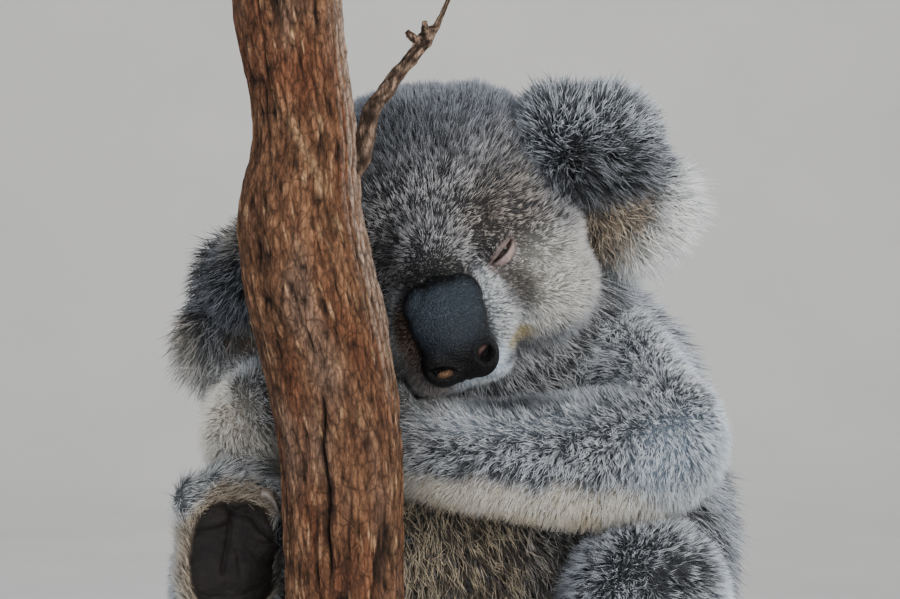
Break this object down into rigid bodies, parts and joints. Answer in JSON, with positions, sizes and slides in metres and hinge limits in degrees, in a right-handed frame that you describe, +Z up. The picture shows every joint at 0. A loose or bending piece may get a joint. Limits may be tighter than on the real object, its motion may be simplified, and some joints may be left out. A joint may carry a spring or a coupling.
{
  "type": "sleeping koala museum model",
  "caption": "Life-size still model of a koala asleep, hugging an upright trunk and sitting on its limb, on a plain display stand.",
  "frame": {"origin": "centre of the underside of the stand's base plate", "axes": "+Z up; the animal faces -Y; +X is the animal's left side"},
  "size_m": [0.3177, 0.32, 0.6035],
  "materials": {
    "coat_grey": "dense mottled grey fur with dark and pale tipped hairs",
    "coat_ear": "long shaggy fur, dark behind, white at the fringe",
    "coat_belly": "brown-grey fur, darker inside, with pale tips",
    "coat_paw": "short fur over bare grained pads and horn claws",
    "nose_leather": "matt bare nose skin, finely grained",
    "eye": "glossy dark brown eye behind nearly closed lids",
    "bark": "fissured brown bark with a long crack and a pale strip",
    "twig": "dead twig with loose bark",
    "stand_plate": "satin dark powder coat",
    "stand_steel": "brushed round bar"
  },
  "bodies": {
    "root": {"head": "coat_grey", "nose": "nose_leather", "eye_left": "eye", "eye_right": "eye", "ear_left": "coat_ear", "ear_right": "coat_ear", "neck": "coat_grey", "torso": "coat_belly", "tail": "coat_belly", "upper_arm_left": "coat_grey", "upper_arm_right": "coat_grey", "forearm_left": "coat_grey", "forearm_right": "coat_grey", "hand_left": "coat_paw", "hand_right": "coat_paw", "thigh_left": "coat_grey", "thigh_right": "coat_grey", "shin_left": "coat_grey", "shin_right": "coat_grey", "foot_left": "coat_paw", "foot_right": "coat_paw", "perch_trunk": "bark", "perch_limb": "bark", "perch_twig": "twig", "stand_base": "stand_plate", "stand_rod_front": "stand_steel", "stand_rod_back": "stand_steel"}
  },
  "joints": []
}
